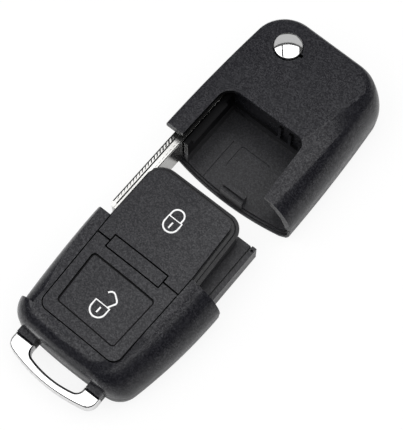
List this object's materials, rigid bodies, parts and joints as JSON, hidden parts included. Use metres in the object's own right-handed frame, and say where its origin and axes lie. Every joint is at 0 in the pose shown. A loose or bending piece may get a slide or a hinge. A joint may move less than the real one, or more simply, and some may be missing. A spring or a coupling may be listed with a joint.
{
  "type": "flip key remote shell",
  "caption": "Black two-button flip key remote shell pulled apart, with folded steel key blade, chrome release button and chrome key ring bail.",
  "frame": {"origin": "on the back face, on the centre line, at the head's split end", "axes": "+Y towards the head's free end, +X to the right with the buttons facing up, +Z out of the button face"},
  "size_m": [0.0373, 0.105, 0.018],
  "materials": {
    "shell_plastic": "fine grained black moulded plastic",
    "hub_plastic": "smooth black plastic",
    "frame_plastic": "smooth black plastic",
    "button_plastic": "fine grained black moulded plastic with white printed padlocks",
    "mat_rubber": "plain dark rubber",
    "blade_steel": "polished nickel-plated steel",
    "screw_steel": "plain steel",
    "chrome_plating": "bright chrome plating",
    "contact_metal": "nickel-plated spring sheet"
  },
  "bodies": {
    "head": {"head_upper_shell": "shell_plastic", "head_lower_shell": "shell_plastic", "head_screw": "screw_steel", "hub_washer": "screw_steel"},
    "blade": {"blade_hub": "hub_plastic", "key_blade": "blade_steel", "blade_roll_pin": "screw_steel"},
    "release": {"release_plunger": "hub_plastic", "release_button": "chrome_plating", "flip_spring": "screw_steel"},
    "remote": {"remote_front_shell": "shell_plastic", "remote_back_shell": "shell_plastic", "button_frame": "frame_plastic", "button_membrane": "mat_rubber", "hinge_bar": "button_plastic", "key_ring_bail": "chrome_plating", "battery_contact_negative": "contact_metal", "battery_contact_positive": "contact_metal"},
    "lock_cap": {"lock_button": "button_plastic"},
    "unlock_cap": {"unlock_button": "button_plastic"}
  },
  "joints": [
    {"name": "remote_slide", "type": "slide", "parent": "head", "child": "remote", "axis": [0, 1, 0], "range_m": [0, 0.02565]},
    {"name": "blade_flip", "type": "hinge", "parent": "head", "child": "blade", "pos_m": [-0.0085, 0.0333, 0.0082], "axis": [0, 0, -1], "range_deg": [0, 180]},
    {"name": "release_press", "type": "slide", "parent": "head", "child": "release", "axis": [0, 0, -1], "range_m": [0, 0.0016], "stiffness_N_per_m": 600, "deforming": ["flip_spring"]},
    {"name": "lock_press", "type": "hinge", "parent": "remote", "child": "lock_cap", "pos_m": [0, -0.03055, 0.0146], "axis": [-1, 0, 0], "range_deg": [0, 1.2], "stiffness_Nm_per_rad": 1},
    {"name": "unlock_press", "type": "hinge", "parent": "remote", "child": "unlock_cap", "pos_m": [0, -0.03055, 0.0146], "axis": [1, 0, 0], "range_deg": [0, 1.2], "stiffness_Nm_per_rad": 1}
  ]
}
